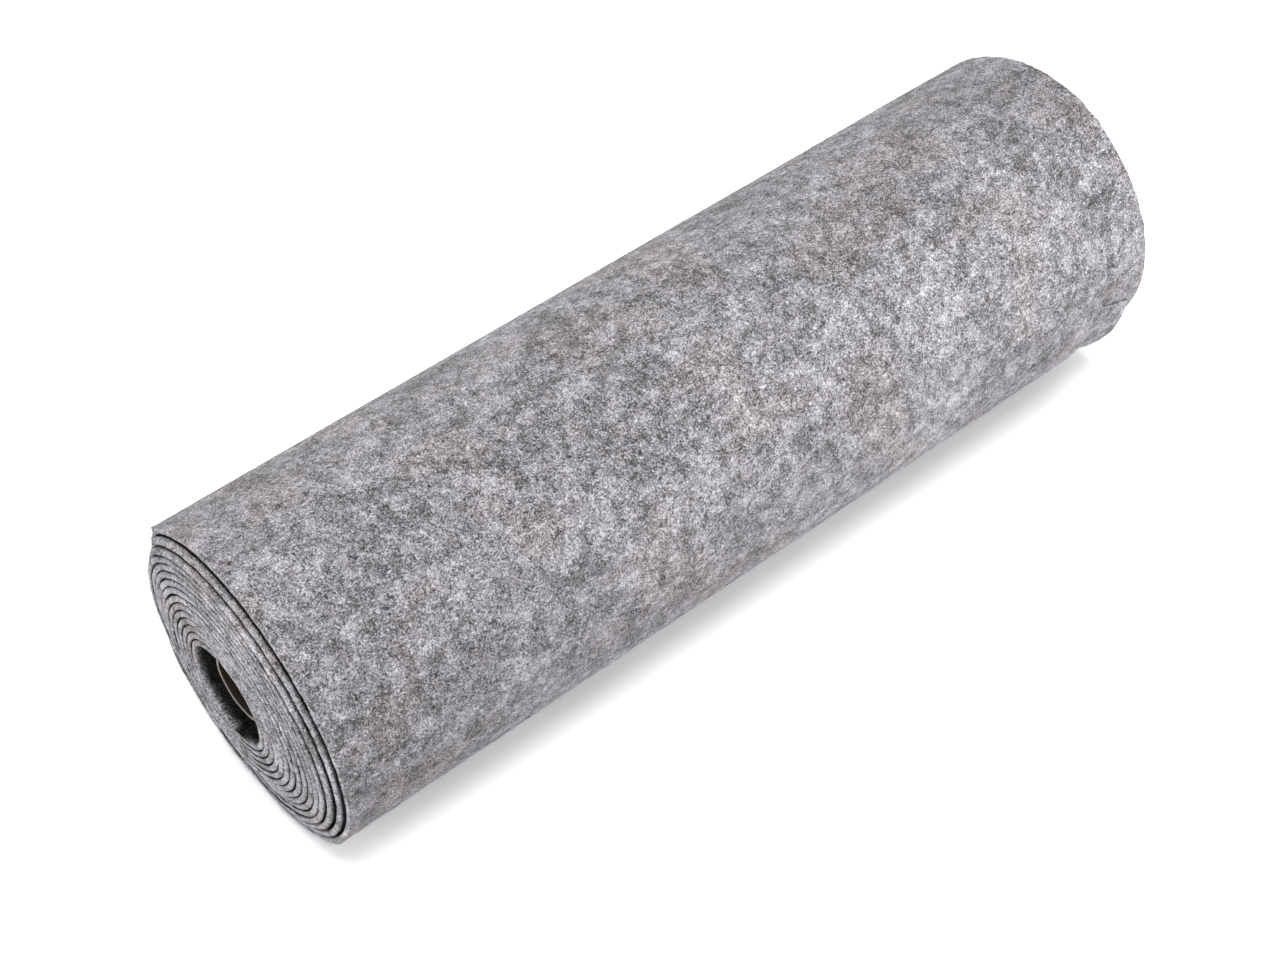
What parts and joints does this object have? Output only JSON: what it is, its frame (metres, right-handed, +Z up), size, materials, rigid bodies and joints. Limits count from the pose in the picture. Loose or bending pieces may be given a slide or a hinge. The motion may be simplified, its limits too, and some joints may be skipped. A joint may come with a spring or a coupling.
{
  "type": "roll of felt",
  "caption": "Roll of thick grey melange felt wound round a loose card tube, lying on its side.",
  "frame": {"origin": "middle of the bounding box's floor, on the surface that the roll lies on", "axes": "+X along the roll from the seen end to the other end, +Y away from the seen side, +Z up"},
  "size_m": [0.4608, 0.1468, 0.1469],
  "materials": {
    "felt": "matt",
    "card": "matt"
  },
  "bodies": {
    "root": {"felt_roll": "felt", "core_tube": "card"}
  },
  "joints": []
}
